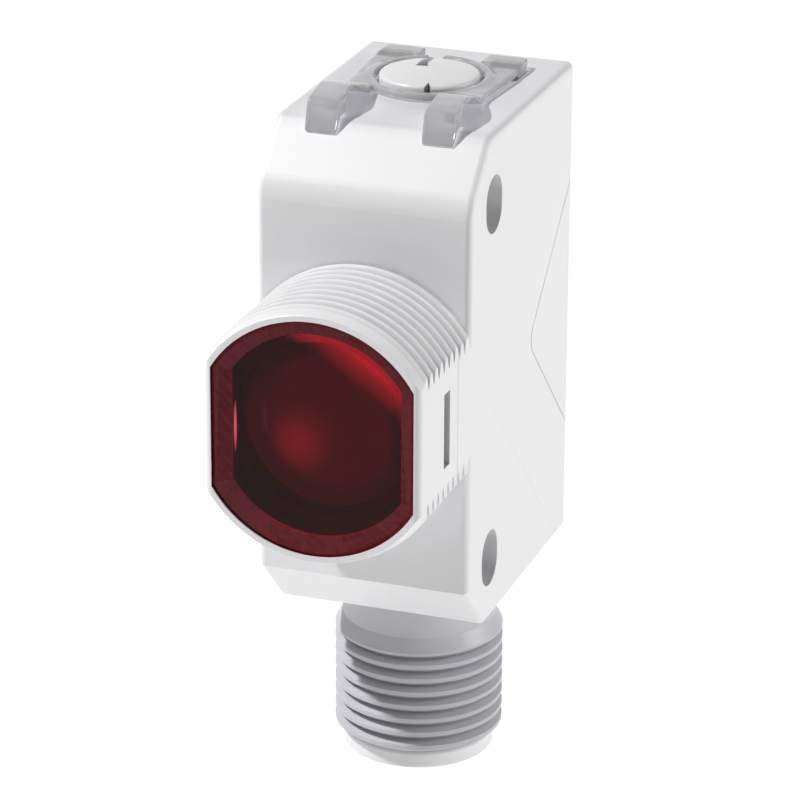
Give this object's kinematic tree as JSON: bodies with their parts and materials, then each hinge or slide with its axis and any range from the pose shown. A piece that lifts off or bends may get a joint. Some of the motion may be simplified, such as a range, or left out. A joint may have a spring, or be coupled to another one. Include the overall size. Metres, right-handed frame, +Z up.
{
  "type": "through-beam photoelectric sensor",
  "caption": "Slim white box-shaped light sensor with a flattened threaded nose and red window, slotted side holes, an adjuster dial under a clear light guide and a round threaded plug.",
  "frame": {"origin": "where the optical axis crosses the housing's front face, from which the threaded nose stands out", "axes": "-Y along the optical axis, the way the light leaves the window; +Z up, away from the plug; +X to the side that is on the right when one looks along +Y at the window"},
  "size_m": [0.015, 0.0319, 0.0501],
  "materials": {
    "housing_white": "satin",
    "window_red": "gloss",
    "seal_black": "matte",
    "seal_white": "matte",
    "lens_clear": "gloss",
    "holder_black": "matte",
    "emitter_red": "gloss",
    "board_green": "satin",
    "potentiometer_blue": "satin",
    "rotor_white": "satin",
    "dial_gray": "gloss",
    "guide_clear": "gloss",
    "indicator_green": "gloss",
    "indicator_yellow": "gloss",
    "connector_gray": "satin",
    "contact_gold": "polished",
    "flex_amber": "gloss",
    "chip_black": "matte",
    "capacitor_tan": "satin"
  },
  "bodies": {
    "sensor": {"housing": "housing_white", "rear_cover": "housing_white", "window": "window_red", "window_seal": "seal_white", "lens": "lens_clear", "lens_holder": "holder_black", "emitter_diode": "emitter_red", "emitter_board": "board_green", "main_board": "board_green", "top_board": "board_green", "potentiometer": "potentiometer_blue", "adjuster_seal": "seal_black", "light_guide": "guide_clear", "green_indicator": "indicator_green", "yellow_indicator": "indicator_yellow", "connector_shell": "connector_gray", "contact_carrier": "holder_black", "contact_pins": "contact_gold", "connector_seal": "seal_black", "connector_board": "board_green", "flex_link": "flex_amber", "control_chip": "chip_black", "driver_chip": "chip_black", "capacitors": "capacitor_tan"},
    "adjuster": {"adjuster_dial": "dial_gray", "potentiometer_rotor": "rotor_white"}
  },
  "joints": [
    {"name": "adjuster_turn", "type": "hinge", "parent": "sensor", "child": "adjuster", "pos_m": [0, 0.0132, 0.0174], "axis": [0, 0, 1], "range_deg": [-135, 135]}
  ]
}
